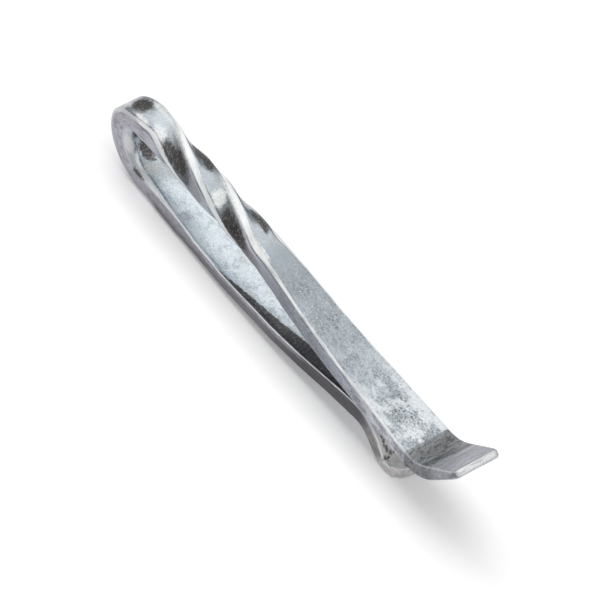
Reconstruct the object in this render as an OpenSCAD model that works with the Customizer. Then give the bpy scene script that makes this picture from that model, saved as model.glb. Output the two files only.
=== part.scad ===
// A tie bar forged from one length of square bar, folded like a hairpin.
// It lies along X: the round spring loop at the low end, the upturned lip at the high end.
// Both legs are swept along plain arcs and straights, and meet at the pinch.

/* [Bar] */
// Side of the square bar in the twisted shank
bar_side = 3.15; // [2.6:0.05:3.6]
// Bevel worn along each corner of the shank
bar_bevel = 0.65; // [0.3:0.05:0.9]

/* [Spring loop] */
// Radius of the hollow inside the loop
loop_inside_r = 2.25; // [1.8:0.05:3]
// Width of the bar where the loop is hammered
loop_w = 3.5; // [3:0.05:4.2]
// Thickness of the bar round the loop
loop_t = 3.0; // [2.4:0.05:3.4]
// Bevel on the outer corners of the loop
loop_outer_bevel = 0.7; // [0.2:0.05:0.9]
// Broad worn bevel on the inner corners of the loop
loop_inner_bevel = 0.8; // [0.3:0.05:1]

/* [Twisted shank] */
// Plain bar between the top of the loop and the twist
twist_lead = 1.7; // [1:0.1:5]
// Length of bar that is twisted
twist_l = 18.8; // [14:0.2:26]
// Angle that the bar is turned through, in quarter turns of 90 degrees
twist_angle = 180; // [90:90:360]

/* [Front blade] */
// Length of the twist's end over which the shoulder already bends down
shoulder_lead = 3.1; // [1:0.1:6]
// Length past the twist over which the shoulder bends down
shoulder_l = 4.3; // [3:0.1:6]
// Angle that the shoulder falls at
shoulder_fall = 10.8; // [7:0.1:13]
// Length of the falling stretch
fall_l = 0.8; // [0.4:0.1:3]
// Length over which the blade levels out
level_l = 9.9; // [7:0.1:13]
// Length of the straight blade
blade_l = 10.8; // [9:0.1:16]
// Small angle that the straight blade still falls at
blade_fall = 3.1; // [1:0.1:4]
// Width of the blade where it levels out
blade_w = 4.4; // [3.6:0.05:5]
// Width of the blade at the lip
tip_w = 5.15; // [4.3:0.05:6]
// Thickness of the blade where it levels out
blade_t = 2.45; // [1.7:0.05:2.8]
// Bevel worn along the edges of the blade
blade_bevel = 0.3; // [0.1:0.05:0.5]

/* [Lip] */
// Length over which the lip bends up
lip_bend_l = 4.3; // [3:0.1:6]
// Angle that the lip stands up at
lip_rise = 45; // [25:1:50]
// Straight length of the lip past the bend
lip_l = 5.7; // [4:0.1:7]
// Thickness at the end of the lip
lip_t = 1.25; // [0.8:0.05:1.6]
// Radius of the two corners of the lip
lip_corner_r = 1.3; // [0.4:0.1:1.8]

/* [Back leg] */
// Flat stretch behind the loop that rests on the table
heel_l = 6.7; // [4:0.1:9]
// Length over which the leg starts to rise
heel_bend_l = 3.6; // [2:0.1:6]
// Extra angle that the leg lifts by near the pinch
leg_lift = 4.7; // [3:0.1:8]
// Length over which the leg takes that extra angle
lift_bend_l = 2.7; // [1.5:0.1:4]
// Straight length between that bend and the pinch
reach_l = 7.6; // [4:0.1:10]
// Width of the leg at the heel
heel_w = 4.0; // [3.2:0.05:4.4]
// Width of the leg at the pinch
pinch_w = 4.5; // [3.8:0.05:5.2]
// Thickness of the leg along its straight run
leg_t = 2.0; // [1.6:0.05:2.4]
// Thickness of the leg at the pinch
pinch_t = 2.3; // [1.8:0.05:2.6]

/* [Foot] */
// Length of the rounded crest that presses on the blade
crest_l = 3.6; // [3:0.1:5]
// Angle that the foot drops away at
foot_drop = 64; // [48:1:68]
// Length over which the toe levels out
toe_bend_l = 1.5; // [1.2:0.1:2.4]
// Length of the flat toe
toe_l = 1.9; // [1.9:0.1:4]
// Width of the toe before its rounded end
toe_w = 4.0; // [3:0.05:4.1]
// Thickness at the end of the toe
toe_t = 1.45; // [1:0.05:1.7]

/* [Fits] */
// Distance from the start of the straight blade to the pinch
pinch_place = 3.1; // [1.5:0.1:5]
// Space left between the two legs at the pinch
pinch_gap = 0.08; // [0.05:0.01:0.2]
// Depth ground off the heel and the toe so that they rest flat
rest_depth = 0.05; // [0.03:0.01:0.1]

/* [Hidden] */

// Share of the twist at each end over which its turning starts and stops
twist_ease_share = 0.06;
// Share of the toe's width that its end radius takes
toe_round_share = 0.46;
// Share of the local width or thickness that a bevel may take at most
bevel_limit_share = 0.45;
// How far the middle of a rounded bevel stands in from the sharp corner, as a share of the bevel
round_share = 1 - sqrt(0.5);
// Steps round each quarter of the loop
loop_steps = 14;
// Steps along the twist, and along each plain bend or end
twist_steps = 40;
bend_steps = 8;
// Steepest rise that the back leg can have, and rounds of halving that settle its rise
steepest_rise = 30;
solve_rounds = 30;

loop_r = loop_inside_r + loop_t / 2;
table_z = -loop_r - loop_t / 2 + rest_depth;

// Every path is a list of [length, turn in degrees]. A place on it is [x, z, heading].
function moved(p, l, turn) =
    turn == 0
    ? [p[0] + l * cos(p[2]), p[1] + l * sin(p[2]), p[2]]
    : let (r = l / (turn * PI / 180), h = p[2] + turn)
      [p[0] + r * (sin(h) - sin(p[2])), p[1] - r * (cos(h) - cos(p[2])), h];
function place(path, s, p, i = 0) =
    i == len(path) - 1 || s <= path[i][0]
    ? moved(p, s, path[i][1] * s / path[i][0])
    : place(path, s - path[i][0], moved(p, path[i][0], path[i][1]), i + 1);
function reach(path, n) = n == 0 ? 0 : path[n - 1][0] + reach(path, n - 1);

// The front leg, from the outermost point of the loop over its top to the lip
quarter_l = loop_r * PI / 2;
front_start = [-loop_r, 0, 90];
front_path = [
    [quarter_l, -90],
    [twist_lead + twist_l - shoulder_lead, 0],
    [shoulder_lead + shoulder_l, -shoulder_fall],
    [fall_l, 0],
    [level_l, shoulder_fall - blade_fall],
    [blade_l, 0],
    [lip_bend_l, lip_rise + blade_fall],
    [lip_l, 0]
];
front_ends = [for (n = [0 : len(front_path)]) reach(front_path, n)];
front_tip_s = front_ends[8];
twist_end_s = front_ends[1] + twist_lead + twist_l;
function front_place(s) = place(front_path, s, front_start);

front_width = [[0, loop_w], [front_ends[1], loop_w], [front_ends[1] + twist_lead, bar_side],
               [twist_end_s, bar_side], [front_ends[5], blade_w], [front_ends[6], tip_w]];
front_thick = [[0, loop_t], [front_ends[1], loop_t], [front_ends[1] + twist_lead, bar_side],
               [twist_end_s, bar_side], [front_ends[5], blade_t], [front_tip_s, lip_t]];
front_top_bevel = [[0, loop_outer_bevel], [front_ends[1], loop_outer_bevel],
                   [front_ends[1] + twist_lead, bar_bevel], [twist_end_s, bar_bevel],
                   [front_ends[4], blade_bevel]];
front_low_bevel = [[0, loop_inner_bevel], [front_ends[1], loop_inner_bevel],
                   [front_ends[1] + twist_lead, bar_bevel], [twist_end_s, bar_bevel],
                   [front_ends[4], blade_bevel]];

// The twist turns steadily, and eases in and out over a short share of its length
function eased(u, e) =
    u <= 0 ? 0
    : u >= 1 ? 1
    : u < e ? u * u / (2 * e * (1 - e))
    : u > 1 - e ? 1 - (1 - u) * (1 - u) / (2 * e * (1 - e))
    : (u - e / 2) / (1 - e);
function front_twist(s) =
    twist_angle * eased((s - front_ends[1] - twist_lead) / twist_l, twist_ease_share);

// The rounded corners of the lip narrow its last stretch
function corner_loss(s, tip_s, r) = s < tip_s - r ? 0 : r - sqrt(max(0, r * r - pow(s - tip_s + r, 2)));
function front_w(s) = lookup(s, front_width) - 2 * corner_loss(s, front_tip_s, lip_corner_r);

// Where the crest of the back leg has to lie, just under the straight blade
pinch_s = front_ends[5] + pinch_place;
pinch_over = front_place(pinch_s);
pinch_drop = lookup(pinch_s, front_thick) / 2 + pinch_gap + pinch_t / 2;
crest_x = pinch_over[0] + sin(pinch_over[2]) * pinch_drop;
crest_z = pinch_over[1] - cos(pinch_over[2]) * pinch_drop;

// The back leg, from the outermost point of the loop round its underside to the toe.
// The length of its long run follows from its rise, and the rise from the height of the pinch.
back_start = [-loop_r, 0, -90];
function crest_share(rise) = (rise + leg_lift + blade_fall) / (rise + leg_lift + foot_drop);
function to_crest(rise, run) = [
    [quarter_l, 90],
    [heel_l, 0],
    [heel_bend_l, rise],
    [run, 0],
    [lift_bend_l, leg_lift],
    [reach_l, 0],
    [crest_l * crest_share(rise), -rise - leg_lift - blade_fall]
];
function crest_at(rise, run) =
    let (path = to_crest(rise, run)) place(path, reach(path, len(path)), back_start);
function run_for(rise) = (crest_x - crest_at(rise, loop_t)[0]) / cos(rise) + loop_t;
function rise_between(low, high, n) =
    let (mid = (low + high) / 2)
    n < 1 ? mid
    : crest_at(mid, run_for(mid))[1] < crest_z ? rise_between(mid, high, n - 1)
    : rise_between(low, mid, n - 1);
leg_rise = rise_between(0, steepest_rise, solve_rounds);
leg_run = run_for(leg_rise);

// The foot drops from the crest until its toe lies on the table
crest_turn = leg_rise + leg_lift + foot_drop;
drop_from = place([[crest_l * (1 - crest_share(leg_rise)), blade_fall - foot_drop]],
                  crest_l * (1 - crest_share(leg_rise)), [crest_x, crest_z, -blade_fall]);
toe_r = toe_bend_l / (foot_drop * PI / 180);
toe_z = table_z - rest_depth + toe_t / 2;
foot_run = (drop_from[1] - toe_z - toe_r * (1 - cos(foot_drop))) / sin(foot_drop);
back_path = [
    [quarter_l, 90],
    [heel_l, 0],
    [heel_bend_l, leg_rise],
    [leg_run, 0],
    [lift_bend_l, leg_lift],
    [reach_l, 0],
    [crest_l, -crest_turn],
    [foot_run, 0],
    [toe_bend_l, foot_drop],
    [toe_l, 0]
];
back_ends = [for (n = [0 : len(back_path)]) reach(back_path, n)];
back_tip_s = back_ends[10];
function back_place(s) = place(back_path, s, back_start);

crest_s = back_ends[6] + crest_l * crest_share(leg_rise);
back_width = [[0, loop_w], [back_ends[1], loop_w], [back_ends[2], heel_w],
              [crest_s, pinch_w], [back_ends[8], toe_w], [back_tip_s, toe_w]];
back_thick = [[0, loop_t], [back_ends[2], loop_t], [back_ends[3], leg_t], [back_ends[5], leg_t],
              [back_ends[6], pinch_t], [back_ends[7], pinch_t], [back_ends[9], toe_t]];
back_top_bevel = [[0, loop_inner_bevel], [back_ends[1], loop_inner_bevel], [back_ends[2], blade_bevel]];
back_low_bevel = [[0, loop_outer_bevel], [back_ends[2], loop_outer_bevel], [back_ends[3], blade_bevel]];
function back_w(s) = lookup(s, back_width) - 2 * corner_loss(s, back_tip_s, toe_w * toe_round_share);

// The section of the bar: a rectangle whose four corners are rounded by a point halfway
function corner(side_y, side_n, w, t, bevel) =
    let (b = min(bevel, w * bevel_limit_share, t * bevel_limit_share), m = b * round_share)
    [[side_y * (w / 2 - b), side_n * t / 2],
     [side_y * (w / 2 - m), side_n * (t / 2 - m)],
     [side_y * w / 2, side_n * (t / 2 - b)]];
function backwards(list) = [for (i = [len(list) - 1 : -1 : 0]) list[i]];
function section(w, t, top, low) = concat(
    backwards(corner(-1, 1, w, t, top)),
    corner(1, 1, w, t, top),
    backwards(corner(1, -1, w, t, low)),
    corner(-1, -1, w, t, low));

// One ring of the sweep: the section stood square to the path, turned by the twist
function ring(p, outline, twist) = [
    for (q = outline)
        let (y = q[0] * cos(twist) - q[1] * sin(twist), n = q[0] * sin(twist) + q[1] * cos(twist))
        [p[0] - sin(p[2]) * n, y, p[1] + cos(p[2]) * n]
];
function front_ring(s) = ring(
    front_place(s),
    section(front_w(s), lookup(s, front_thick), lookup(s, front_top_bevel), lookup(s, front_low_bevel)),
    front_twist(s));
function back_ring(s) = ring(
    back_place(s),
    section(back_w(s), lookup(s, back_thick), lookup(s, back_top_bevel), lookup(s, back_low_bevel)),
    0);

// Steps from one place on a path to the next, and steps that crowd into a rounded end
function steps(from, to, n) = [for (i = [1 : n]) from + (to - from) * i / n];
function end_steps(tip_s, r, n) = [for (i = [1 : n]) tip_s - r + r * sin(90 * i / n)];

module skin(rings) {
    n = len(rings[0]);
    last = (len(rings) - 1) * n;
    sides = [
        for (i = [0 : len(rings) - 2], j = [0 : n - 1])
            let (a = i * n + j, b = i * n + (j + 1) % n)
            each [[a, b, b + n], [a, b + n, a + n]]
    ];
    near_cap = [[for (j = [n - 1 : -1 : 0]) j]];
    far_cap = [[for (j = [0 : n - 1]) last + j]];
    polyhedron(points = [for (r = rings) each r], faces = concat(near_cap, sides, far_cap));
}

// The part's origin is on the table, under the middle of its length
front_high_x = front_place(front_tip_s)[0] + sin(lip_rise) * lip_t / 2;
low_x = -loop_r - loop_t / 2;
module on_table() {
    translate([-(low_x + front_high_x) / 2, 0, -table_z]) children();
}

module ground_flat() {
    difference() {
        children();
        translate([low_x - loop_t, -tip_w, table_z - 2 * loop_t])
            cube([front_high_x - low_x + 2 * loop_t, 2 * tip_w, 2 * loop_t]);
    }
}

module spring_loop_lower() {
    color("gainsboro") on_table() ground_flat()
        skin([for (s = concat([0], steps(0, back_ends[1], loop_steps))) back_ring(s)]);
}

module spring_loop_upper() {
    color("gainsboro") on_table()
        skin([for (s = concat([0], steps(0, front_ends[1], loop_steps))) front_ring(s)]);
}

module twisted_shank() {
    twist_from = front_ends[1] + twist_lead;
    places = concat([front_ends[1]], steps(front_ends[1], twist_from, bend_steps / 2),
                    steps(twist_from, twist_end_s, twist_steps));
    color("silver") on_table() skin([for (s = places) front_ring(s)]);
}

module front_blade() {
    places = concat([twist_end_s], steps(twist_end_s, front_ends[3], bend_steps),
                    [front_ends[4]], steps(front_ends[4], front_ends[5], bend_steps), [front_ends[6]]);
    color("lightsteelblue") on_table() skin([for (s = places) front_ring(s)]);
}

module upturned_lip() {
    places = concat([front_ends[6]], steps(front_ends[6], front_ends[7], bend_steps),
                    [front_tip_s - lip_corner_r], end_steps(front_tip_s, lip_corner_r, bend_steps));
    color("lightgray") on_table() skin([for (s = places) front_ring(s)]);
}

module back_leg() {
    places = concat([back_ends[1], back_ends[2]], steps(back_ends[2], back_ends[3], bend_steps / 2),
                    [back_ends[4]], steps(back_ends[4], back_ends[5], bend_steps / 2), [back_ends[6]]);
    color("lightsteelblue") on_table() ground_flat() skin([for (s = places) back_ring(s)]);
}

module pinch_foot() {
    toe_r = toe_w * toe_round_share;
    places = concat([back_ends[6]], steps(back_ends[6], crest_s, bend_steps),
                    steps(crest_s, back_ends[7], bend_steps), steps(back_ends[7], back_ends[8], 2),
                    steps(back_ends[8], back_ends[9], bend_steps),
                    [back_tip_s - toe_r], end_steps(back_tip_s, toe_r, bend_steps));
    color("lightgray") on_table() ground_flat() skin([for (s = places) back_ring(s)]);
}

spring_loop_lower();
spring_loop_upper();
twisted_shank();
front_blade();
upturned_lip();
back_leg();
pinch_foot();
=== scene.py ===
# %% [markdown]
# # A forged tie bar, dressed for the camera
#
# The real object is one length of square bar, folded like a hairpin. This lesson builds its looks in Blender
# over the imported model, which is the fixed frame: its bodies carry the pieces, and the looks stay in its box.

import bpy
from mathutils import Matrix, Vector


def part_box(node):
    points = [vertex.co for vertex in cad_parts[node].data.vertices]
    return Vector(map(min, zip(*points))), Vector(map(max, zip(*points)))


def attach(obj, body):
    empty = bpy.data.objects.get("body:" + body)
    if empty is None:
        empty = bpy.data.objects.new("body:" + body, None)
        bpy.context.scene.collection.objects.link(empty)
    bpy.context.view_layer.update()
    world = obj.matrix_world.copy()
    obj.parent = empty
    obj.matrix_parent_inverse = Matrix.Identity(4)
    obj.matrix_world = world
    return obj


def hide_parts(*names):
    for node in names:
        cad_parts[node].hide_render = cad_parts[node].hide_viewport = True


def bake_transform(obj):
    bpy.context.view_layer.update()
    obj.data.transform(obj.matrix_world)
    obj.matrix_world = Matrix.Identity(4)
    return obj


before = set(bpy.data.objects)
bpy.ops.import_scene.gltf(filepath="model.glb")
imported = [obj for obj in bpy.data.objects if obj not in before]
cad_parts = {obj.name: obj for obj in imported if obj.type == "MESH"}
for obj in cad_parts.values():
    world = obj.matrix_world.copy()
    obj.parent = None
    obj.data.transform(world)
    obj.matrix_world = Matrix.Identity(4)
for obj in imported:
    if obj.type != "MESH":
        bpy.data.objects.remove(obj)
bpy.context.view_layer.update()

# %% [markdown]
# ## The camera
#
# The photo was taken from about 49 degrees above the table with a long lens. A camera is easiest to place by
# the direction it looks from: a target on the object, two angles, a distance and a small roll. The camera
# comes first, so that every later look at the scene is through the photo's own frame.

# %% Placing the camera
import math

import bpy
from mathutils import Matrix, Vector

mm = 0.001
camera_side = math.radians(55.61)
camera_height = math.radians(48.92)
camera_roll = math.radians(0.2313)
camera_target = Vector((1.3447, -0.177, 7.4864)) * mm
camera_distance = 405 * mm

toward_camera = Vector((
    math.sin(camera_side) * math.cos(camera_height),
    -math.cos(camera_side) * math.cos(camera_height),
    math.sin(camera_height),
))
level_right = Vector((math.cos(camera_side), math.sin(camera_side), 0))
level_up = toward_camera.cross(level_right)
picture_right = level_right * math.cos(camera_roll) + level_up * math.sin(camera_roll)
picture_up = level_up * math.cos(camera_roll) - level_right * math.sin(camera_roll)

lens = bpy.data.cameras.new("long_lens")
lens.sensor_width = 36
lens.lens = 257.2
lens.clip_start = 0.01
camera = bpy.data.objects.new("camera", lens)
turned = Matrix((picture_right, picture_up, toward_camera)).transposed().to_4x4()
camera.matrix_world = Matrix.Translation(camera_target + toward_camera * camera_distance) @ turned
bpy.context.scene.collection.objects.link(camera)
bpy.context.scene.camera = camera
print("camera at", [round(v / mm) for v in camera.matrix_world.translation], "mm")

# %% [markdown]
# ## The line of the bar
#
# A smith thinks of a bar as a length with bends in it, so the line of the bar is written that way: a list of
# runs, each a length in millimetres and a turn in degrees. Walking along the runs gives a place and a
# heading. Both legs start at the outermost point of the loop, where the distance along the bar is nought. The
# front leg has the distances above nought and the back leg those below it, so one number finds any place on
# the bar.

# %% Walking along the runs
front_runs = [(5.8905, -90), (17.4, 0), (7.4, -10.8), (0.8, 0), (9.9, 7.7), (10.8, 0), (4.3, 48.1), (5.7, 0)]
back_runs = [(5.8905, 90), (6.7, 0), (3.6, 4.23), (17.299, 0), (2.7, 4.7), (7.6, 0), (3.6, -72.93), (1.518, 0),
             (1.5, 64), (1.9, 0)]
loop_centre = (-24.634, 5.2)
loop_radius = 3.75


def step_on(place, length, turn):
    x, z, heading = place
    if abs(turn) < 1e-9:
        return x + length * math.cos(heading), z + length * math.sin(heading), heading
    radius = length / turn
    after = heading + turn
    return (x + radius * (math.sin(after) - math.sin(heading)),
            z - radius * (math.cos(after) - math.cos(heading)), after)


def walk(runs, heading, distance):
    place = (loop_centre[0] - loop_radius, loop_centre[1], math.radians(heading))
    for length, turn in runs:
        if distance <= length:
            return step_on(place, distance, math.radians(turn) * distance / length)
        place = step_on(place, length, math.radians(turn))
        distance -= length
    return step_on(place, distance, 0)


def on_the_line(along):
    if along >= 0:
        return walk(front_runs, 90, along)
    x, z, heading = walk(back_runs, -90, -along)
    return x, z, heading + math.pi


lip_end = sum(length for length, turn in front_runs)
toe_end = -sum(length for length, turn in back_runs)
print("the bar runs from", round(toe_end, 2), "to", round(lip_end, 2), "mm")

# %% [markdown]
# ## The section of the bar
#
# Hammering changes the section all along the bar: square in the twist, wide and thin in the blade, rounded on
# its edges everywhere. Each of these is a short table of distance and size, read with straight lines between
# its entries. The faces away from the gap are called outer here, and those that face the gap inner.
#
# The last five tables say how flat a rounded edge is and how steep, how much smaller the far outer edge is
# where the twist begins, how far the lip's upper face is worn down, and how far the back leg hangs in its
# middle. Between heel and crest that leg follows the photo and not its solid: it is up to 0.35 mm wider and
# hangs up to 0.5 mm lower. The wear makes the lip's top 0.44 mm lower than its solid.

# %% Width, thickness and rounding along the bar
width_at = [(-48.91, 4.0), (-44.38, 4.5), (-36, 4.4), (-30, 4.6), (-22, 4.5), (-14, 4.0), (-12.59, 4.0),
            (-5.89, 3.5), (5.89, 3.5), (7.59, 3.15), (26.39, 3.15), (41.39, 4.4), (52.19, 5.15)]
thick_at = [(-50.41, 1.45), (-47.39, 2.3), (-43.79, 2.3), (-36.19, 2.0), (-16.19, 2.0), (-12.59, 3.0),
            (5.89, 3.0), (7.59, 3.15), (26.39, 3.15), (41.39, 2.45), (62.19, 1.25)]
outer_round_at = [(-16.19, 0.3), (-12.59, 0.7), (5.89, 0.7), (7.59, 0.65), (26.39, 0.65), (31.49, 0.22)]
inner_round_at = [(-12.59, 0.2), (-5.89, 0.8), (-3, 1.15), (2, 1.15), (5.89, 0.8), (7.59, 0.65), (26.39, 0.65),
                  (31.49, 0.40), (45, 0.34), (53, 0.28)]
flatness_at = [(-5.89, 0.2), (2, 0.3), (7.59, 0.9), (26.39, 0.9), (31.49, 0.2)]
steepness_at = [(-6, 1), (-3, 0.4), (5, 0.4), (9, 1)]
far_rounding_at = [(2, 1), (6, 0.55), (10, 0.55), (13, 1)]
slimming_at = [(56, 0), (62.19, 0.45)]
sagging_at = [(-42, 0), (-36, 0.3), (-30, 0.5), (-21, 0.45), (-14, 0)]


def read(table, along):
    if along <= table[0][0]:
        return table[0][1]
    for (a, low), (b, high) in zip(table, table[1:]):
        if along <= b:
            return low + (high - low) * (along - a) / (b - a)
    return table[-1][1]


print("width at the pinch:", round(read(width_at, -44.38), 2), "mm")

# %% [markdown]
# The twist turns the section half round between the loop and the blade. It was made in a vice with a wrench,
# so it turns steadily and only eases in and out over a few per cent of its length.

# %% The half turn of the twist
twist_start = 7.59
twist_length = 18.8
twist_ease = 0.06


def twist(along):
    share = min(max((along - twist_start) / twist_length, 0), 1)
    if share < twist_ease:
        eased = share * share / (2 * twist_ease * (1 - twist_ease))
    elif share > 1 - twist_ease:
        eased = 1 - (1 - share) ** 2 / (2 * twist_ease * (1 - twist_ease))
    else:
        eased = (share - twist_ease / 2) / (1 - twist_ease)
    return math.pi * eased


print("turned by", round(math.degrees(twist(17))), "degrees halfway")

# %% [markdown]
# ## Hammer marks
#
# Forged faces are never flat. Broad, shallow dents from the hammer lie over the whole bar, and they are what
# makes the reflections wander. They could be painted on as bump alone, but real dents also move the outline,
# so they are pressed into the mesh: noise that is read in the bar's straightened place, before it was bent,
# always inwards, so that the bar never grows past its sizes. The rounded edges change in width by noise too.

# %% Depth of the dents at a place on the straightened bar
from mathutils import noise

dent_depth = 0.035
ripple_depth = 0.006
edge_change = 0.14


def dent(along, across, up):
    broad = noise.noise(Vector((along * 0.42, across * 0.5, up * 0.5 + 7)))
    ripple = noise.noise(Vector((along * 1.7, across * 1.9 + 3, up * 1.9)))
    return dent_depth * (0.5 + 0.5 * broad) + ripple_depth * (0.5 + 0.5 * ripple)


def edge_wander(along, corner):
    return 1 + edge_change * noise.noise(Vector((along * 0.35, corner * 5, 11)))


print("a dent:", round(dent(30, 0, 1), 3), "mm")

# %% [markdown]
# ## The end face that the bar grows from
#
# Every stretch of the bar starts as one end face. It begins as a circle whose points are shared out to the
# four corners. Each point remembers two things: its seat, which is the corner or flat that it belongs to, and
# its lean, which is the way it faces. Pulling the seats apart turns the circle into a rounded rectangle of
# any size, and cutting the long edges gives the flats enough points to carry dents.

# %% Making the end face
import bmesh

corner_points = 8
flat_cuts = 11
side_cuts = 7


def start_face(bm):
    seat = bm.verts.layers.float_vector.new("seat")
    lean = bm.verts.layers.float_vector.new("lean")
    circle = bmesh.ops.create_circle(bm, cap_ends=True, segments=4 * corner_points, radius=1)
    for vert in circle["verts"]:
        turn = math.atan2(vert.co.y, vert.co.x) % math.tau
        number = round(turn / math.tau * 4 * corner_points) % (4 * corner_points)
        quarter, step = divmod(number, corner_points)
        angle = (quarter + step / (corner_points - 1)) * math.pi / 2
        vert[lean] = (math.cos(angle), math.sin(angle), 0)
        vert[seat] = ((1, 1), (-1, 1), (-1, -1), (1, -1))[quarter] + (0,)
    flats = [e for e in bm.edges if e.verts[0][seat] != e.verts[1][seat]]
    for edge in flats:
        lies_flat = abs(edge.verts[0][lean].y) > 0.5
        cuts = flat_cuts if lies_flat else side_cuts
        bmesh.ops.subdivide_edges(bm, edges=[edge], cuts=cuts)
    bm.faces.ensure_lookup_table()
    return bm.faces[0], seat, lean


trial = bmesh.new()
start_face(trial)
print("points round the section:", len(trial.verts))
trial.free()

# %% [markdown]
# ## Growing a stretch of bar
#
# The end face is extruded a fifth of a millimetre at a time. After each step its points are moved to the new
# place on the line: out to the section's size, turned by the twist, and stood square to the heading. Their
# straightened place is kept as an attribute, because grain, file marks and stains follow the metal and not
# the room. A second attribute keeps the way that each point faces in the section, and how deep in a rounded
# edge it lies. Both ends of the bar are rounded over, and their corners are cut round.

# %% Moving one ring of points to its place
lip_corner = 0.85
toe_corner = 1.84
end_round = 0.3
end_narrowing = 0.4
least_half_width = 0.3
least_half_thick = 0.1
most_rounding = 0.9
most_wandered = 0.98


def corner_loss(along):
    to_lip, to_toe = lip_end - along, along - toe_end
    for left, radius in ((to_lip, lip_corner), (to_toe, toe_corner)):
        if left < radius:
            return radius - math.sqrt(max(0, radius * radius - (radius - left) ** 2))
    return 0


def end_loss(along):
    left = min(lip_end - along, along - toe_end)
    if left >= end_round:
        return 0
    return end_round - math.sqrt(max(0, end_round ** 2 - (end_round - left) ** 2))


def move_ring(verts, layers, along):
    seat, lean, straight, facing = layers
    x, z, heading = on_the_line(along)
    turn = twist(along)
    loss = end_loss(along)
    half_width = max(read(width_at, along) / 2 - corner_loss(along), least_half_width) - loss * end_narrowing
    slim = read(slimming_at, along)
    half_thick = max((read(thick_at, along) - slim) / 2 - loss, least_half_thick)
    for vert in verts:
        p, q = vert[seat].x, vert[seat].y
        a, b = vert[lean].x, vert[lean].y
        table = outer_round_at if q > 0 else inner_round_at
        edge = min(read(table, along), half_width * most_rounding, half_thick * most_rounding)
        edge *= edge_wander(along, 2 * round(p) + round(q))
        edge = min(edge, half_width * most_wandered, half_thick * most_wandered)
        if p > 0 and q > 0:
            edge *= read(far_rounding_at, along)
        flat = read(flatness_at, along)
        reach = edge * (1 - flat + flat / (abs(a) + abs(b)))
        narrow = read(steepness_at, along) if p * q < 0 < q else 1
        across = p * (half_width - edge * narrow) + a * reach * narrow
        up = q * (half_thick - edge) + b * reach + slim / 2 + read(sagging_at, along)
        vert[straight] = (along, across, up)
        vert[facing] = (a, b, abs(a * b) * 2)
        pressed = dent(along, across, up)
        across -= a * pressed
        up -= b * pressed
        side = across * math.cos(turn) - up * math.sin(turn)
        rise = across * math.sin(turn) + up * math.cos(turn)
        vert.co = (
            (x - math.sin(heading) * rise) * mm,
            side * mm,
            max(z + math.cos(heading) * rise, 0) * mm,
        )


print("the lip's corners are rounded by", lip_corner, "mm, the toe's by", toe_corner, "mm")

# %% [markdown]
# The stretch is closed by its two end faces. Where one piece of the bar goes on in the next, the edge round
# the end face is marked sharp, so that the shading of the sides isn't pulled towards the hidden end.

# %% Extruding a whole stretch
step_length = 0.2
end_steps = 7


def places_between(first, last):
    count = math.ceil((last - first) / step_length)
    places = [first + (last - first) * n / count for n in range(count + 1)]
    for end, sign in ((lip_end, -1), (toe_end, 1)):
        if first <= end <= last:
            for n in range(end_steps):
                places.append(end + sign * end_round * (1 - math.sin(math.pi / 2 * n / end_steps)))
    return sorted(set(round(p, 5) for p in places))


def object_from(bm, name):
    mesh = bpy.data.meshes.new(name)
    bm.to_mesh(mesh)
    bm.free()
    thing = bpy.data.objects.new(name, mesh)
    bpy.context.scene.collection.objects.link(thing)
    return thing


def stretch_of_bar(name, first, last):
    bm = bmesh.new()
    straight = bm.verts.layers.float_vector.new("straight")
    facing = bm.verts.layers.float_vector.new("facing")
    face, seat, lean = start_face(bm)
    layers = seat, lean, straight, facing
    places = places_between(first, last)
    move_ring(face.verts, layers, places[0])
    first_edges = list(face.edges)
    for along in places[1:]:
        grown = bmesh.ops.extrude_face_region(bm, geom=[face])["geom"]
        face = next(part for part in grown if isinstance(part, bmesh.types.BMFace))
        move_ring(face.verts, layers, along)
    bmesh.ops.recalc_face_normals(bm, faces=bm.faces)
    for part in bm.faces:
        part.smooth = True
    for edge in first_edges + list(face.edges):
        edge.smooth = False
    print(name, "has", len(bm.faces), "faces")
    return object_from(bm, name)


# %% [markdown]
# ## The three pieces of the bar
#
# The bar is one piece of metal, but its two legs move apart when cloth is pushed in. So the looks are cut
# where the frame's bodies meet: the front leg rides on one body, the back leg on the other, and the loop
# between them, where the real spring bends, is a piece of its own that stays in place. The loop's two inner
# faces are 2.95 and 7.45 mm above the table.

# %% Front leg, back leg and loop
loop_end = 5.8905
front_leg = stretch_of_bar("front_leg", loop_end, lip_end)
spring_loop = stretch_of_bar("spring_loop", -loop_end, loop_end)
back_leg_bar = stretch_of_bar("back_leg_bar", toe_end, -loop_end)
bar_pieces = (front_leg, spring_loop, back_leg_bar)

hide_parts("twisted_shank", "front_blade", "upturned_lip")
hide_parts("spring_loop_upper", "spring_loop_lower")
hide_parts("back_leg", "pinch_foot")
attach(front_leg, "front")
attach(back_leg_bar, "back")
loop_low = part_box("spring_loop_lower")[1]
loop_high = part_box("spring_loop_upper")[1]
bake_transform(spring_loop)
print("pieces:", [piece.name for piece in bar_pieces])
print("the loop's halves reach", round(loop_low[2] / mm, 2), "and", round(loop_high[2] / mm, 2), "mm up")

# %% [markdown]
# ## The finish of the metal
#
# The metal is bright, bluish and worn: broad blotches of duller grey, a fine frost of hammer and wire-brush
# marks, rubbed edges with painted highlights, and painted dark reflections and shade in the hollows. The bar
# is one piece of metal, so the three pieces of the scene share one material, and its marks go on unbroken
# from piece to piece. A mark that comes many times is a node group, built once. A few small helpers keep the
# node code short.

# %% Helpers for node trees
def add(tree, kind, **values):
    node = tree.nodes.new(kind)
    for name, value in values.items():
        if hasattr(node, name):
            setattr(node, name, value)
        else:
            node.inputs[name.replace("_", " ")].default_value = value
    return node


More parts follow.
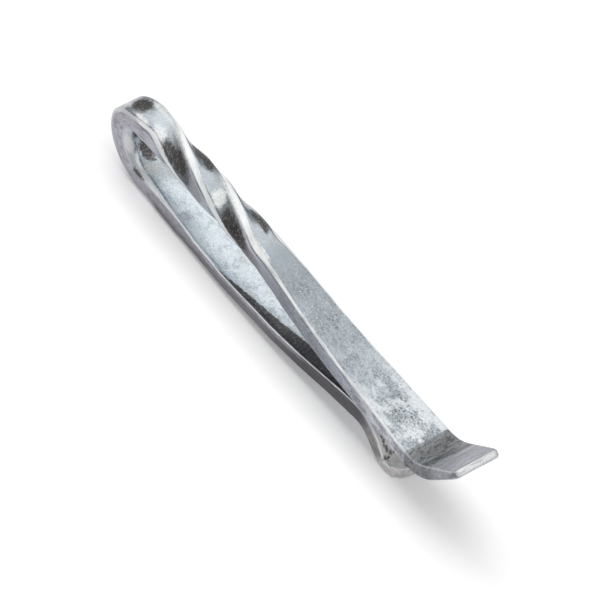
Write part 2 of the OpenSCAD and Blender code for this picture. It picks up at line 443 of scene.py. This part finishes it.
def math_node(tree, operation, first, second=0.0):
    node = tree.nodes.new("ShaderNodeMath")
    node.operation = operation
    for socket, value in zip(node.inputs, (first, second)):
        if isinstance(value, (int, float)):
            socket.default_value = value
        else:
            tree.links.new(value, socket)
    return node.outputs[0]


def times(tree, *values):
    product = values[0]
    for value in values[1:]:
        product = math_node(tree, "MULTIPLY", product, value)
    return product


def ramp(tree, value, low, high):
    node = add(tree, "ShaderNodeMapRange", interpolation_type="SMOOTHSTEP")
    node.inputs["From Min"].default_value = low
    node.inputs["From Max"].default_value = high
    tree.links.new(value, node.inputs["Value"])
    return node.outputs["Result"]


def between(tree, value, low, high):
    node = add(tree, "ShaderNodeMapRange")
    node.inputs["To Min"].default_value = low
    node.inputs["To Max"].default_value = high
    tree.links.new(value, node.inputs["Value"])
    return node.outputs["Result"]


def over(tree, under, colour, amount):
    node = add(tree, "ShaderNodeMix", data_type="RGBA")
    for socket, value in ((node.inputs["Factor"], amount), (node.inputs[6], under), (node.inputs[7], colour)):
        if isinstance(value, (tuple, float)):
            socket.default_value = value if isinstance(value, float) else value + (1.0,)
        else:
            tree.links.new(value, socket)
    return node.outputs[2]


def group_tree(name, inputs, output):
    tree = bpy.data.node_groups.new(name, "ShaderNodeTree")
    kinds = {"vector": "NodeSocketVector", "value": "NodeSocketFloat"}
    for socket, kind in inputs:
        tree.interface.new_socket(socket, in_out="INPUT", socket_type=kinds[kind])
    tree.interface.new_socket(output, in_out="OUTPUT", socket_type="NodeSocketFloat")
    return tree, tree.nodes.new("NodeGroupInput"), tree.nodes.new("NodeGroupOutput")


def seen_rays(tree):
    rays = add(tree, "ShaderNodeLightPath")
    shown = math_node(tree, "MAXIMUM", rays.outputs["Is Camera Ray"], rays.outputs["Is Glossy Ray"])
    return math_node(tree, "MAXIMUM", shown, rays.outputs["Is Transmission Ray"])


def matt_material(name, colour, roughness, shine):
    material = bpy.data.materials.new(name)
    material.use_nodes = True
    shader = material.node_tree.nodes["Principled BSDF"]
    shader.inputs["Base Color"].default_value = colour + (1,)
    shader.inputs["Roughness"].default_value = roughness
    shader.inputs["Specular IOR Level"].default_value = shine
    return material, shader


# %% [markdown]
# ### Noise that is stretched along the bar
#
# Most marks are noise with its own size along, across and up. The group scales the straightened place first,
# then reads soft noise and lifts it by a threshold, so one group gives blotches, grain and long strokes.

# %% The stretched noise group
def make_stretched_noise():
    inputs = [("Place", "vector"), ("Size", "vector"), ("Low", "value"), ("High", "value")]
    tree, given, result = group_tree("stretched_noise", inputs, "Amount")
    scaled = add(tree, "ShaderNodeVectorMath", operation="DIVIDE")
    tree.links.new(given.outputs["Place"], scaled.inputs[0])
    tree.links.new(given.outputs["Size"], scaled.inputs[1])
    soft = add(tree, "ShaderNodeTexNoise", Scale=1.0, Detail=4.0, Roughness=0.6)
    tree.links.new(scaled.outputs[0], soft.inputs["Vector"])
    lifted = add(tree, "ShaderNodeMapRange", interpolation_type="SMOOTHSTEP")
    tree.links.new(soft.outputs["Fac"], lifted.inputs["Value"])
    tree.links.new(given.outputs["Low"], lifted.inputs["From Min"])
    tree.links.new(given.outputs["High"], lifted.inputs["From Max"])
    tree.links.new(lifted.outputs["Result"], result.inputs["Amount"])
    return tree


stretched_noise = make_stretched_noise()
print("group:", stretched_noise.name)


# %% [markdown]
# ### A mark at a place
#
# Painted dark reflections, painted highlights and pits sit at certain places of the bar. The group fades out
# around a centre, given in the straightened place. A noise that is read once outside is added to the distance,
# so that a mark has a ragged rim and looks grown, not stamped.

# %% The mark group
def make_mark():
    inputs = [("Place", "vector"), ("Rim", "value"), ("Centre", "vector"), ("Reach", "vector")]
    tree, given, result = group_tree("mark", inputs, "Amount")
    offset = add(tree, "ShaderNodeVectorMath", operation="SUBTRACT")
    tree.links.new(given.outputs["Place"], offset.inputs[0])
    tree.links.new(given.outputs["Centre"], offset.inputs[1])
    shared = add(tree, "ShaderNodeVectorMath", operation="DIVIDE")
    tree.links.new(offset.outputs[0], shared.inputs[0])
    tree.links.new(given.outputs["Reach"], shared.inputs[1])
    distance = add(tree, "ShaderNodeVectorMath", operation="LENGTH")
    tree.links.new(shared.outputs[0], distance.inputs[0])
    edge = math_node(tree, "ADD", distance.outputs["Value"], given.outputs["Rim"])
    tree.links.new(ramp(tree, edge, 1.15, 0.65), result.inputs["Amount"])
    return tree


mark = make_mark()
print("group:", mark.name)

# %% [markdown]
# ### Starting the metal
#
# Metal is all reflection, so Metallic stays near one. Each point of the mesh knows its straightened place and
# the way it faces in the section, and these two attributes are all that the marks are placed by.

# %% The metal's tree and its places
metal = bpy.data.materials.new("forged_metal")
metal.use_nodes = True
tree = metal.node_tree
shader = tree.nodes["Principled BSDF"]


def attribute_parts(name):
    source = add(tree, "ShaderNodeAttribute", attribute_name=name).outputs["Vector"]
    parts = add(tree, "ShaderNodeSeparateXYZ")
    tree.links.new(source, parts.inputs[0])
    return source, parts.outputs


def noise_mark(size, low, high):
    node = add(tree, "ShaderNodeGroup", node_tree=stretched_noise)
    tree.links.new(place, node.inputs["Place"])
    node.inputs["Size"].default_value = size
    node.inputs["Low"].default_value = low
    node.inputs["High"].default_value = high
    return node.outputs["Amount"]


def marks_at(places):
    most = 0.0
    for centre, reach in places:
        node = add(tree, "ShaderNodeGroup", node_tree=mark)
        tree.links.new(place, node.inputs["Place"])
        tree.links.new(rim, node.inputs["Rim"])
        node.inputs["Centre"].default_value = centre
        node.inputs["Reach"].default_value = reach
        most = math_node(tree, "MAXIMUM", node.outputs["Amount"], most)
    return most


place, (along, across, rise) = attribute_parts("straight")
face_side, face_rise, chamfer = attribute_parts("facing")[1]
rim = add(tree, "ShaderNodeTexNoise", Scale=2.6, Detail=5.0, Roughness=0.7)
tree.links.new(place, rim.inputs["Vector"])
rim = times(tree, math_node(tree, "SUBTRACT", rim.outputs["Fac"], 0.5), 1.6)
print("attributes:", [node.attribute_name for node in tree.nodes if node.type == "ATTRIBUTE"])

# %% [markdown]
# ### The regions of the bar
#
# Every region had its own tool: the wrench in the twist, the planishing hammer and the wire brush on the
# blade, the file on the lip, and the tongs on the foot, which kept a rough, pale skin. A region is a soft
# mask, which fades in over one part of the bar and out over another. The way that a point faces tells the
# bar's two sides and the faces in the gap from the others.

# %% Region masks
def stretch(start, full, fading, end):
    return times(tree, ramp(tree, along, start, full), ramp(tree, along, end, fading))


on_blade = stretch(27, 33, 52.5, 54.5)
in_twist = stretch(6, 9, 26, 31)
on_loop = stretch(-8, -4, 4, 7)
on_lip = ramp(tree, along, 53, 54.5)
at_foot = ramp(tree, along, -44.5, -47)
at_toe = ramp(tree, along, -48.8, -50.0)
on_back_leg = ramp(tree, along, -7, -10)
side_share = math_node(tree, "ABSOLUTE", face_side)
turned_out = ramp(tree, side_share, 0.2, 0.6)
flat_side = ramp(tree, side_share, 0.8, 0.97)
on_side = times(tree, math_node(tree, "SUBTRACT", 1.0, in_twist), flat_side)
facing_gap = ramp(tree, face_rise, -0.8, -0.97)
in_gap = times(tree, on_back_leg, facing_gap)
print("the blade's finish lies between 27 and 54.5 mm along the bar")

# %% [markdown]
# ### Silver and blotches
#
# The ground is cool silver. Duller and paler clouds lie over it, from three millimetres down to one. The
# inner face of the back leg, which faces the gap, is the palest, with a little blue mottle in it.

# %% The ground colours
cool_silver = (0.58, 0.64, 0.68)
dull_grey = (0.30, 0.325, 0.35)
pale_silver = (0.80, 0.88, 0.93)
mottle_blue = (0.42, 0.49, 0.54)
blotch = noise_mark((2.6, 1.8, 1.8), 0.42, 0.66)
cloud = noise_mark((1.3, 0.9, 0.9), 0.46, 0.66)
mottle = noise_mark((1.0, 0.7, 0.7), 0.50, 0.66)

colour = over(tree, cool_silver, dull_grey, times(tree, blotch, 0.38))
colour = over(tree, colour, pale_silver, times(tree, cloud, 0.4))
colour = over(tree, colour, pale_silver, in_gap)
colour = over(tree, colour, mottle_blue, times(tree, in_gap, mottle, 0.5))
print("ground:", cool_silver, "with", dull_grey, "and", pale_silver)

# %% [markdown]
# ### Sides and grain
#
# The sides are flat grey, darker on the back leg, with dark smears and pale gleams that are drawn out along
# the bar. The lower half of the front leg's side is painted very dark, as painted shade, from the last of the
# twist into the blade. At the end come warm clouds and a grain of a quarter of a millimetre, over all the
# faces, and thinner in the gap.

# %% Sides, warm clouds and grain
side_grey = (0.58, 0.575, 0.61)
side_streak = (0.20, 0.20, 0.215)
front_side_shade_grey = (0.17, 0.16, 0.165)
warm_grey = (0.52, 0.48, 0.44)
side_smears = noise_mark((0.9, 0.32, 0.32), 0.48, 0.68)
side_gleams = noise_mark((1.6, 0.25, 0.25), 0.52, 0.70)
warmth = noise_mark((3.4, 1.1, 1.1), 0.56, 0.72)
grain = noise_mark((0.24, 0.20, 0.20), 0.36, 0.66)
# painted shade on the lower half of the front leg's side
front_low_side_shade = times(tree, flat_side, stretch(20, 23, 34, 44), ramp(tree, rise, -0.7, 0.2))

colour = over(tree, colour, side_grey, times(tree, on_side, 0.75))
colour = over(tree, colour, side_streak, times(tree, on_side, on_back_leg, 0.3))
colour = over(tree, colour, front_side_shade_grey, times(tree, front_low_side_shade, between(tree, blotch, 0.9, 0.6)))
colour = over(tree, colour, side_streak, times(tree, on_side, side_smears, 0.6))
colour = over(tree, colour, pale_silver, times(tree, on_side, side_gleams, 0.6))
colour = over(tree, colour, warm_grey, times(tree, warmth, 0.4))
colour = over(tree, colour, dull_grey, times(tree, grain, between(tree, in_gap, 0.32, 0.16)))
print("sides:", side_grey, "with", side_streak)

# %% [markdown]
# ### Frost on the blade
#
# Planishing left a frost of small dark worms on the blade, and its bright specks are painted glints. It is
# thick in some places and thin in others, and thickest in a brushed patch in the middle of the blade's end.
# White clouds lie in it towards the lip, where the blue fades. Where the blade starts, it is smooth and dark
# blue.

# %% Blade
frost_blue = (0.48, 0.54, 0.585)
worm_grey = (0.17, 0.18, 0.20)
smooth_blue = (0.36, 0.405, 0.44)
glint_and_cloud_white = (0.91, 0.95, 0.975)
thick_frost = noise_mark((2.2, 1.7, 1.7), 0.40, 0.60)
worms = noise_mark((0.24, 0.20, 0.20), 0.47, 0.60)
glint_specks = noise_mark((0.15, 0.13, 0.13), 0.56, 0.68)
smudges = noise_mark((1.6, 1.0, 1.0), 0.46, 0.62)
white_clouds = noise_mark((2.4, 1.3, 1.2), 0.42, 0.58)
off_middle = math_node(tree, "ABSOLUTE", across)
brushed = times(tree, ramp(tree, along, 44, 48), ramp(tree, off_middle, 1.8, 0.8))
frost_share = math_node(tree, "MAXIMUM", times(tree, thick_frost, 0.6), brushed)
frosted = times(tree, on_blade, between(tree, frost_share, 0.3, 0.9))
bluing = between(tree, ramp(tree, along, 43, 51), 0.8, 0.2)
darkening = between(tree, ramp(tree, along, 30, 50), 0.2, 0.0)
whitening = ramp(tree, along, 38, 49)
smooth_start = stretch(25.5, 28, 30, 34)

colour = over(tree, colour, frost_blue, times(tree, on_blade, bluing))
colour = over(tree, colour, smooth_blue, times(tree, smooth_start, 0.7))
colour = over(tree, colour, worm_grey, times(tree, on_blade, darkening))
colour = over(tree, colour, dull_grey, times(tree, on_blade, smudges, 0.5))
colour = over(tree, colour, glint_and_cloud_white, times(tree, on_blade, white_clouds, whitening, 0.75))
colour = over(tree, colour, worm_grey, times(tree, frosted, worms, between(tree, white_clouds, 1.0, 0.45)))
# painted glints: bright specks over the blade
colour = over(tree, colour, glint_and_cloud_white, times(tree, on_blade, glint_specks, between(tree, brushed, 0.7, 0.9)))
print("blade:", frost_blue, "with", worm_grey)

# %% [markdown]
# ### File strokes on the lip
#
# The lip was drawn across a file, so its strokes run across the bar. It is lilac grey. A darker band, a painted
# dark reflection with black worms in it, starts at the bend with a ragged rim and fades up the lip, and one
# last stroke crosses it at a slant.

# %% Lip
lip_lilac = (0.38, 0.38, 0.415)
reflection_band_grey = (0.30, 0.31, 0.315)
band_black = (0.10, 0.105, 0.105)
strokes = noise_mark((0.3, 2.6, 0.6), 0.42, 0.60)
broad_strokes = noise_mark((0.9, 3.0, 1.0), 0.48, 0.64)
light_strokes = noise_mark((0.7, 3.4, 0.8), 0.52, 0.64)
band_worms = noise_mark((0.32, 0.5, 0.3), 0.48, 0.60)
ragged_along = math_node(tree, "ADD", along, times(tree, rim, 0.5))
# painted dark reflection: a darker band where the lip bends up
lip_reflection_band = times(tree, ramp(tree, ragged_along, 52.4, 52.6), ramp(tree, along, 58.0, 57.0))
slanted_along = math_node(tree, "ADD", along, times(tree, across, 0.25))
last_stroke = times(tree, ramp(tree, slanted_along, 55.6, 56.6), ramp(tree, slanted_along, 57.6, 57.0))

colour = over(tree, colour, lip_lilac, times(tree, on_lip, 0.8))
colour = over(tree, colour, reflection_band_grey, times(tree, lip_reflection_band, 0.9))
colour = over(tree, colour, dull_grey, times(tree, on_lip, strokes, 0.55))
colour = over(tree, colour, worm_grey, times(tree, on_lip, broad_strokes, 0.5))
colour = over(tree, colour, pale_silver, times(tree, on_lip, light_strokes, 0.3))
colour = over(tree, colour, band_black, times(tree, lip_reflection_band, band_worms, 0.75))
colour = over(tree, colour, band_black, times(tree, last_stroke, on_lip, between(tree, strokes, 0.75, 0.3)))
print("lip:", lip_lilac, "with", reflection_band_grey)

# %% [markdown]
# ### Rubbed edges and painted highlights
#
# The corners of the bar are touched most, so they are worn bright but scratched, and a painted highlight adds
# to their brightness. They scatter the light more than the faces do, and the scratches run along the bar. The
# edges of the twist are the widest, and those of the loop and the lip the weakest. The lip's end face is
# painted white as a highlight, with dull streaks across it.

# %% Edges
worn_highlight_silver = (0.93, 0.95, 0.96)
end_highlight_white = (0.78, 0.795, 0.79)
scratches = noise_mark((1.5, 0.14, 0.14), 0.30, 0.60)
end_streaks = noise_mark((0.3, 2.2, 0.10), 0.45, 0.60)
edge_strength = times(tree, between(tree, scratches, 0.55, 1.0), between(tree, on_loop, 1.0, 0.5))
edge_strength = times(tree, edge_strength, between(tree, ramp(tree, along, 51, 54), 1.0, 0.3))
wide_edge = times(tree, in_twist, ramp(tree, chamfer, 0.1, 0.6))
# edge brightness: worn metal, and partly a painted highlight
rubbed_and_highlit = times(tree, math_node(tree, "MAXIMUM", wide_edge, ramp(tree, chamfer, 0.35, 0.85)), edge_strength)
rubbed_and_highlit = times(tree, rubbed_and_highlit, ramp(tree, along, 62.15, 61.85))
on_end = ramp(tree, along, 61.85, 62.15)
# painted highlight: the lip's end face is painted white
end_highlight_colour = over(tree, end_highlight_white, dull_grey, times(tree, end_streaks, 0.6))

colour = over(tree, colour, worn_highlight_silver, rubbed_and_highlit)
colour = over(tree, colour, end_highlight_colour, on_end)
print("edges:", worn_highlight_silver)

# %% [markdown]
# ### Painted dark reflections and highlights
#
# Near-black painted dark reflections and shade lie in the first hollow of each facet of the twist, on top of
# the loop and inside it. Next to some of them the metal is painted pale as a highlight. One spot before the
# twist is a painted highlight, and two in the twist are dull. A place is a centre on the straightened bar and
# the reach along, across and up, in millimetres.

# %% Places of painted dark reflections and highlights
painted_dark_places = [
    ((4.8, 0.0, 1.5), (1.0, 1.1, 0.6)),
    ((10.9, -0.5, 1.6), (1.5, 0.8, 0.5)), ((12.5, -0.1, 1.6), (1.9, 0.85, 0.5)),
    ((12.6, 1.6, 0.0), (1.6, 0.5, 0.8)), ((14.2, 1.6, -0.3), (1.6, 0.5, 0.6)),
    ((21.6, 1.6, 0.3), (1.6, 0.5, 0.85)), ((23.4, 1.6, 0.1), (1.8, 0.5, 0.8)),
    ((22.6, -0.1, -1.6), (1.1, 0.45, 0.5)), ((24.1, -0.45, -1.6), (1.3, 0.4, 0.5)),
    ((-3.0, 0.3, -1.5), (2.3, 0.8, 0.5)), ((-5.3, -1.75, -1.2), (1.6, 0.3, 0.5)),
]
highlight_places = [
    ((8.6, -0.6, 1.6), (1.1, 0.7, 0.5)), ((18.9, 1.6, 0.2), (1.0, 0.5, 1.0)),
    ((26.5, 1.3, -1.5), (1.7, 0.5, 0.5)),
    ((6.3, -1.3, 1.5), (1.1, 0.5, 0.5)), ((3.0, -1.0, 1.5), (1.3, 0.9, 0.5)),
    ((-6.0, -0.3, -1.5), (1.1, 0.9, 0.5)), ((-1.0, -1.3, -1.3), (1.8, 0.5, 0.6)),
]
dull_places = [((15.8, -0.1, 1.6), (1.6, 1.0, 0.5)), ((25.7, 1.6, 0.4), (1.5, 0.5, 0.9))]
bright_highlight_places = [((7.6, 0.3, 1.6), (1.6, 1.1, 0.5))]
print(len(painted_dark_places), "places of scale,", len(highlight_places), "pale places")

# %% [markdown]
# The two edges of the twist that come up towards the viewer are painted pale as highlights as well. Each is a
# ridge, which is found by its place across and up in the section, and it fades along the bar as the next edge
# takes over.

# %% Masks of painted dark reflections and highlights
# painted dark reflections and shade: near-black marks on the twist's facets and on the loop
painted_darks = marks_at(painted_dark_places)
first_ridge = times(tree, ramp(tree, across, 0.5, 0.95), ramp(tree, rise, 1.0, 1.3))
first_ridge = times(tree, first_ridge, stretch(3, 6, 13, 17))
second_ridge = times(tree, ramp(tree, across, 1.0, 1.3), ramp(tree, rise, -0.5, -0.95))
second_ridge = times(tree, second_ridge, stretch(15, 17, 23, 27))
ridges = math_node(tree, "MAXIMUM", first_ridge, second_ridge)
# painted highlights: pale spots and the two ridges of the twist
pale = math_node(tree, "MAXIMUM", marks_at(highlight_places), times(tree, ridges, 0.9))
pale = times(tree, pale, between(tree, grain, 1.0, 0.5))
print("pale ridges from 3 to 17 and from 15 to 27 mm along the bar")

# %% [markdown]
# ### Shade on the back leg
#
# The lower part of the back leg's side is painted in shade up to a ragged line, which climbs towards the pinch.
# Near the pinch the whole flat of the side is painted dark as shade. A strip that is a painted dark reflection
# of the blade runs along the edge of that leg's inner face, and gets wider on its way to the pinch.

# %% The painted shade on the side and the painted reflection strip
shade_from = math_node(tree, "ADD", rise, times(tree, ramp(tree, along, -33, -40), 0.8))
shade_ragged = math_node(tree, "ADD", shade_from, times(tree, rim, 0.5))
# painted shade on the lower part of the back leg's side
back_side_shade = times(tree, ramp(tree, shade_ragged, -0.2, 0.3), turned_out, on_back_leg)
back_side_shade = times(tree, back_side_shade, between(tree, ramp(tree, along, -26, -34), 0.5, 0.85))
back_side_shade = times(tree, back_side_shade, ramp(tree, along, -50.0, -48.8))
# painted shade over the whole side near the pinch
pinch_side_shade = times(tree, stretch(-46.5, -44.5, -37, -31), flat_side)
strip_edge = math_node(tree, "ADD", across, times(tree, math_node(tree, "ADD", along, 21.0), 0.1))
strip_edge = math_node(tree, "ADD", strip_edge, times(tree, rim, 0.35))
# painted dark reflection of the blade, a strip on the back leg's inner face
strip = times(tree, ramp(tree, strip_edge, -1.9, -2.05), stretch(-45, -43, -20, -19), facing_gap)
print("the strip of scale lies between -45 and -19 mm along the bar")

# %% [markdown]
# The marks are laid on in turn, the near-black painted dark reflections and shade last, so that they cover
# whatever they meet. A brown grain breaks them up, more in the twist than in the strip.

# %% Laying the marks on
shade_black = (0.10, 0.097, 0.094)
shade_brown = (0.38, 0.35, 0.32)
pinch_shade_black = (0.10, 0.103, 0.108)
highlight_warm = (0.95, 0.95, 0.93)
shade_grain = noise_mark((0.22, 0.20, 0.20), 0.50, 0.66)
dark_reflection_colour = over(tree, shade_black, shade_brown, shade_grain)
strip_reflection_colour = over(tree, shade_black, shade_brown, times(tree, shade_grain, 0.5))

colour = over(tree, colour, side_streak, times(tree, marks_at(dull_places), 0.6))
# painted highlights, warm and pale
colour = over(tree, colour, highlight_warm, times(tree, pale, 0.8))
colour = over(tree, colour, shade_black, back_side_shade)
colour = over(tree, colour, pinch_shade_black, times(tree, pinch_side_shade, 0.85))
# painted highlight: one bright spot before the twist
colour = over(tree, colour, pale_silver, times(tree, marks_at(bright_highlight_places), 0.5))
# painted dark reflections and shade, near black with a brown grain
colour = over(tree, colour, dark_reflection_colour, times(tree, painted_darks, 0.92))
colour = over(tree, colour, strip_reflection_colour, times(tree, strip, 0.95))
print("scale:", shade_black, "with", shade_brown)

# %% [markdown]
# ### The foot's rough skin
#
# The foot was held in tongs and kept a matt, pale, pitted skin, which isn't bare metal any more. Metallic is
# lowered there, and pits are pressed in. The skin is thinner on the sides, except at the toe, and the edge on
# its inner face is rubbed bright, with a painted highlight along it. The last of the pits is a nick in the
# blade's edge, beside the lip.

# %% Foot
skin_beige = (0.80, 0.78, 0.75)
pit_brown = (0.10, 0.08, 0.085)
pit_places = [
    ((-48.3, -1.3, -1.0), (0.5, 0.2, 0.3)), ((-49.0, -1.0, -0.9), (0.5, 0.22, 0.3)),
    ((-49.6, -1.6, -0.8), (0.5, 0.18, 0.3)), ((-47.2, -1.5, -1.1), (1.3, 0.14, 0.3)),
    ((-49.4, -0.6, -0.8), (0.35, 0.45, 0.3)), ((-49.9, -1.5, -0.75), (0.35, 0.4, 0.3)),
    ((52.9, 2.6, 0.7), (0.28, 0.4, 0.22)),
]
lumps = noise_mark((0.9, 0.3, 0.4), 0.38, 0.62)
pit_grain = noise_mark((0.35, 0.22, 0.3), 0.42, 0.50)
placed_pits = times(tree, marks_at(pit_places), between(tree, pit_grain, 0.25, 1.0))
fine_pits = times(tree, at_foot, noise_mark((0.8, 0.2, 0.3), 0.60, 0.68))
pits = math_node(tree, "MAXIMUM", placed_pits, fine_pits)
# the edge on the foot's inner face: worn bright, with a painted highlight
foot_edge_highlight = times(tree, at_foot, ramp(tree, chamfer, 0.3, 0.8), ramp(tree, face_rise, 0.1, -0.3))
thin_side = times(tree, turned_out, between(tree, at_toe, 1.0, 0.0))
foot_skin = times(tree, at_foot, between(tree, lumps, 0.45, 1.0), between(tree, thin_side, 1.0, 0.35))

colour = over(tree, colour, skin_beige, foot_skin)
colour = over(tree, colour, worn_highlight_silver, times(tree, foot_edge_highlight, 0.9))
colour = over(tree, colour, pit_brown, times(tree, pits, 0.9))
print("pits:", len(pit_places))

# %% [markdown]
# ### Roughness, bump and the shader
#
# The same masks drive the roughness, the height of the bump and how metallic the surface is. Each list pairs
# a mask with its share. The bump's distance is in metres, and a few thousandths of a millimetre are enough to
# blur a reflection.

# %% Roughness and bump
base_roughness = 0.15
bump_depth = 0.004 * mm
drawn = noise_mark((3.0, 0.12, 0.12), 0.40, 0.65)
rough_parts = [(blotch, 0.06), (grain, 0.10), (on_side, 0.22), (rubbed_and_highlit, 0.28), (at_foot, 0.30), (painted_darks, 0.30),
               (on_blade, 0.12), (pale, 0.22), (on_lip, 0.05)]
height_parts = [(grain, 0.6), (times(tree, worms, frosted), 1.4), (drawn, 0.3),
                (times(tree, scratches, rubbed_and_highlit), 1.6), (times(tree, grain, painted_darks), 2.0),
                (times(tree, lumps, at_foot), 9.0), (pits, -8.0), (times(tree, strokes, on_lip), 0.9)]
dulled_parts = [(at_foot, 0.75), (pale, 0.6), (rubbed_and_highlit, 0.85), (on_end, 0.5), (on_lip, 0.4)]


def sum_of(parts, total):
    for part, amount in parts:
        total = math_node(tree, "ADD", total, times(tree, part, amount))
    return total


metallic = 1.0
for part, amount in dulled_parts:
    metallic = times(tree, math_node(tree, "SUBTRACT", 1.0, times(tree, part, amount)), metallic)
bump = add(tree, "ShaderNodeBump", Strength=1.0, Distance=bump_depth)
tree.links.new(sum_of(height_parts, 0.0), bump.inputs["Height"])
tree.links.new(bump.outputs["Normal"], shader.inputs["Normal"])
tree.links.new(colour, shader.inputs["Base Color"])
tree.links.new(sum_of(rough_parts, base_roughness), shader.inputs["Roughness"])
tree.links.new(metallic, shader.inputs["Metallic"])
for piece in bar_pieces:
    piece.data.materials.append(metal)
print("the metal has", len(tree.nodes), "nodes")

# %% [markdown]
# ## A white table
#
# The photo's ground is white paper with one soft shadow. The floor is a pale, matt plane. Seen by the camera
# and in the metal it gets a little light of its own, and more of it away from the bar. So the paper is white
# in every view, and the shadow stays.

# %% Floor
paper_grey = (0.93, 0.93, 0.93)
paper_reach = 3.0
paper_drop = 0.02 * mm
paper_glow = 0.13
glow_from = 0.036
glow_full = 0.09


def make_floor():
    bm = bmesh.new()
    bmesh.ops.create_grid(bm, x_segments=1, y_segments=1, size=paper_reach)
    bmesh.ops.translate(bm, vec=(0, 0, -paper_drop), verts=bm.verts)
    floor = object_from(bm, "paper")
    material, shader = matt_material("white_paper", paper_grey, 0.9, 0.1)
    tree = material.node_tree
    distance = add(tree, "ShaderNodeVectorMath", operation="LENGTH")
    tree.links.new(add(tree, "ShaderNodeTexCoord").outputs["Object"], distance.inputs[0])
    far_off = ramp(tree, distance.outputs["Value"], glow_from, glow_full)
    glow = times(tree, seen_rays(tree), between(tree, far_off, paper_glow, 1.0))
    shader.inputs["Emission Color"].default_value = (1, 1, 1, 1)
    tree.links.new(glow, shader.inputs["Emission Strength"])
    floor.data.materials.append(material)
    return floor


floor = make_floor()
print("on the table:", floor.name)

# %% [markdown]
# ## Dark cards round the table
#
# Metal shows whatever stands round it. In the photo the faces that look up are bright and those that look low
# past the table are nearly black, as in a room where only the ceiling is lit. A ring of dark card does that.
# Its rim is cut at a slant: high on the near side and low on the far side. The metal alone sees it, and it
# lights and shades nothing.

# %% The ring of dark card
card_grey = (0.42, 0.41, 0.41)
card_radius = 0.5
card_height = 2.4
card_foot = -0.01
rim_height = 0.33
rim_slope = Vector((-0.22, -0.38, 0))


def hide_card(card):
    card.visible_camera = False
    card.visible_diffuse = False
    card.visible_shadow = False


def make_cards():
    bm = bmesh.new()
    bmesh.ops.create_cone(bm, segments=96, radius1=card_radius, radius2=card_radius, depth=card_height)
    bmesh.ops.bisect_plane(
        bm, geom=list(bm.verts) + list(bm.edges) + list(bm.faces), plane_co=(0, 0, rim_height),
        plane_no=Vector((0, 0, 1)) - rim_slope, clear_outer=True)
    bmesh.ops.bisect_plane(
        bm, geom=list(bm.verts) + list(bm.edges) + list(bm.faces), plane_co=(0, 0, card_foot),
        plane_no=(0, 0, 1), clear_inner=True)
    cards = object_from(bm, "dark_cards")
    hide_card(cards)
    material, shader = matt_material("dark_card", card_grey, 1.0, 0.0)
    cards.data.materials.append(material)
    return cards


cards = make_cards()
print("round the table:", cards.name)

# %% [markdown]
# A blotter of grey card lies on the paper too, and only the metal sees it. It gives the sides of the bar
# their middle grey. Its colour is a painted pool of light: lightest beside the bar and dark further out, and
# the pool is shorter across the bar than along it. Each row below is an axis, the middle of the light part
# on it, and the distances from that middle at which the card is fully dark and fully light, in millimetres.

# %% The grey blotter
# the blotter's colour is a painted pool of light, light near the bar and dark further out
blotter_dark = (0.14, 0.135, 0.13)
blotter_light = (0.74, 0.71, 0.75)
blotter_drop = 0.01 * mm
blotter_fades = (("X", 0, 95, 65), ("Y", 3, 36, 27))


def make_blotter():
    bm = bmesh.new()
    bmesh.ops.create_circle(bm, cap_ends=True, segments=96, radius=card_radius)
    bmesh.ops.translate(bm, vec=(0, 0, -blotter_drop), verts=bm.verts)
    blotter = object_from(bm, "grey_blotter")
    hide_card(blotter)
    blotter.visible_transmission = False
    material, shader = matt_material("grey_card", blotter_light, 1.0, 0.0)
    tree = material.node_tree
    parts = add(tree, "ShaderNodeSeparateXYZ")
    tree.links.new(add(tree, "ShaderNodeTexCoord").outputs["Object"], parts.inputs[0])
    lit = 1.0
    for axis, middle, dark_from, lit_to in blotter_fades:
        away = math_node(tree, "ABSOLUTE", math_node(tree, "SUBTRACT", parts.outputs[axis], middle * mm))
        lit = times(tree, ramp(tree, away, dark_from * mm, lit_to * mm), lit)
    tree.links.new(over(tree, blotter_dark, blotter_light, lit), shader.inputs["Base Color"])
    blotter.data.materials.append(material)
    return blotter


blotter = make_blotter()
print("under the bar:", blotter.name)

# %% [markdown]
# ## Light
#
# The white surroundings light the scene evenly, and one long, soft lamp hangs level above the bar and throws
# its soft shadow. The metal doesn't show the lamp.

# %% World and lamp
room_light = 0.5
window_place = (0.03, 0.035, 0.45)
window_length = 1.1
window_depth = 0.25
window_power = 2.1


def light_world(strength):
    world = bpy.data.worlds.new("white_room")
    world.use_nodes = True
    tree = world.node_tree
    background = tree.nodes["Background"]
    background.inputs["Color"].default_value = (1, 1, 1, 1)
    level = math_node(tree, "MAXIMUM", seen_rays(tree), strength)
    tree.links.new(level, background.inputs["Strength"])
    bpy.context.scene.world = world


def hang_lamp(name, place, length, depth, power):
    lamp = bpy.data.lights.new(name, "AREA")
    lamp.shape = "RECTANGLE"
    lamp.size = length
    lamp.size_y = depth
    lamp.energy = power
    holder = bpy.data.objects.new(name, lamp)
    holder.matrix_world = Matrix.Translation(Vector(place))
    bpy.context.scene.collection.objects.link(holder)
    holder.visible_glossy = False


light_world(room_light)
hang_lamp("window", window_place, window_length, window_depth, window_power)
bpy.context.scene.view_settings.view_transform = "Standard"
print("world light:", room_light, "lamp:", window_power, "W at", window_place)
